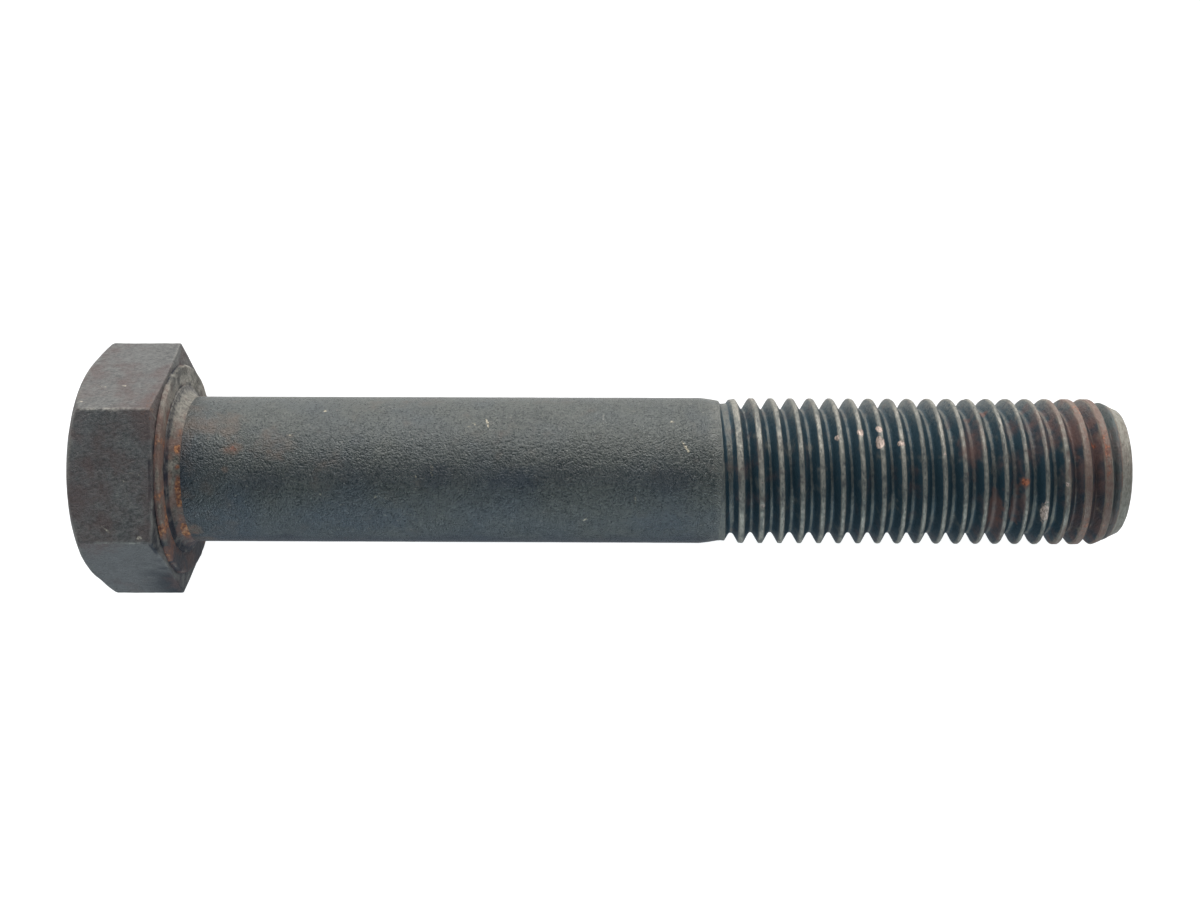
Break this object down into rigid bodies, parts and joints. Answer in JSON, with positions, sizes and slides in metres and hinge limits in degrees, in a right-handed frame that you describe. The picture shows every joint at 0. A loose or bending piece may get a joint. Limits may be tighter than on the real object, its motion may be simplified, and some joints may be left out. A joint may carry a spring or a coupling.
{
  "type": "hex bolt",
  "caption": "Partly threaded steel hex head bolt: chamfered hexagon head with a washer face, smooth shank and right-hand coarse thread with a cone point.",
  "frame": {"origin": "centre of the bearing face, where the washer face meets the work", "axes": "+X along the axis from the head to the tip; +Z square to one flat of the head, so the bolt lies on the opposite flat; +Y through a corner of the head"},
  "size_m": [0.1323, 0.033, 0.0286],
  "materials": {
    "head_steel": "black oxide with a forged skin, scuffed bright on the edges between the flats",
    "bearing_steel": "black oxide with light orange rust in the corner under the head",
    "shank_steel": "black oxide, satin, with fine speckle and small scratches",
    "thread_steel": "black oxide, worn lighter on the crests and dark in the roots"
  },
  "bodies": {
    "root": {"head": "head_steel", "washer_face": "bearing_steel", "underhead_fillet": "bearing_steel", "shank": "shank_steel", "neck": "shank_steel", "thread": "thread_steel", "point": "thread_steel"}
  },
  "joints": []
}
